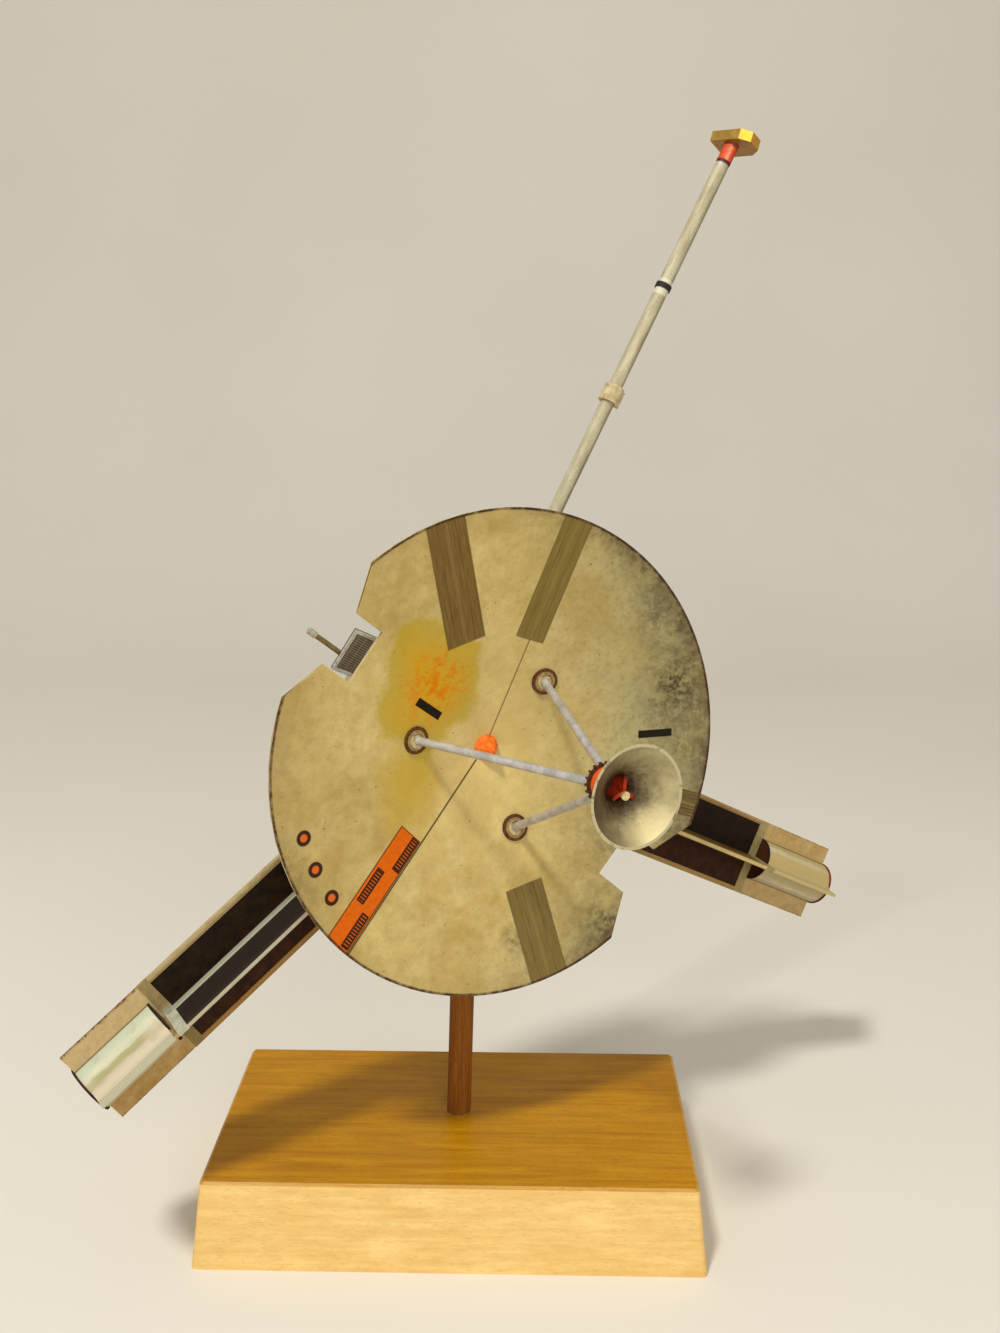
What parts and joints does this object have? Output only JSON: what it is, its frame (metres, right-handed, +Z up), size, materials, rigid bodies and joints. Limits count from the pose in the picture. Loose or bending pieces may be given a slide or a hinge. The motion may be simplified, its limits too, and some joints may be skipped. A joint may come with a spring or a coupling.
{
  "type": "model space probe on a wooden stand",
  "caption": "Card model of a spin-stabilised deep-space probe: dish antenna, feed horn on a tripod, finned power units on two arms and a long sensor boom, on a dowel and plinth.",
  "frame": {"origin": "middle of the plinth's underside", "axes": "+Z up, +X along the plinth's length, -Y towards the front of the stand"},
  "size_m": [0.1861, 0.1291, 0.2626],
  "materials": {
    "plinth_wood": "satin",
    "dowel_wood": "matte",
    "dish_card": "satin",
    "plain_card": "matte",
    "orange_card": "matte",
    "dark_card": "matte",
    "pale_card": "matte",
    "silver_rod": "satin",
    "silver_card": "satin",
    "red_card": "matte",
    "bus_card": "matte",
    "tan_card": "matte",
    "arm_print": "matte",
    "white_card": "satin",
    "boom_tube": "satin",
    "gold_card": "gloss"
  },
  "bodies": {
    "root": {"adapter_ring": "plain_card", "apex_cone": "orange_card", "boom_collar": "pale_card", "boom_lower_tube": "boom_tube", "boom_ring": "dark_card", "boom_socket": "boom_tube", "boom_tip_tube": "orange_card", "boom_upper_tube": "boom_tube", "bus": "bus_card", "dish": "dish_card", "dish_backing": "plain_card", "dish_neck": "plain_card", "equipment_bay": "plain_card", "feed_button": "pale_card", "feed_hub": "orange_card", "feed_stud_band": "dark_card", "feed_vanes": "red_card", "foot_ring_1": "dark_card", "foot_ring_2": "dark_card", "foot_ring_3": "dark_card", "foot_socket_1": "pale_card", "foot_socket_2": "pale_card", "foot_socket_3": "pale_card", "horn": "silver_card", "instrument_box": "dark_card", "instrument_frame": "silver_card", "left_arm": "arm_print", "left_end_band": "tan_card", "left_unit_body": "white_card", "left_unit_caps": "dark_card", "left_unit_fins": "tan_card", "plinth": "plinth_wood", "right_arm": "arm_print", "right_end_band": "tan_card", "right_unit_body": "white_card", "right_unit_caps": "dark_card", "right_unit_fins": "tan_card", "sensor_case": "gold_card", "sensor_rod": "tan_card", "sensor_tip": "pale_card", "stand_dowel": "dowel_wood", "strut_1": "silver_rod", "strut_2": "silver_rod", "strut_3": "silver_rod"}
  },
  "joints": []
}
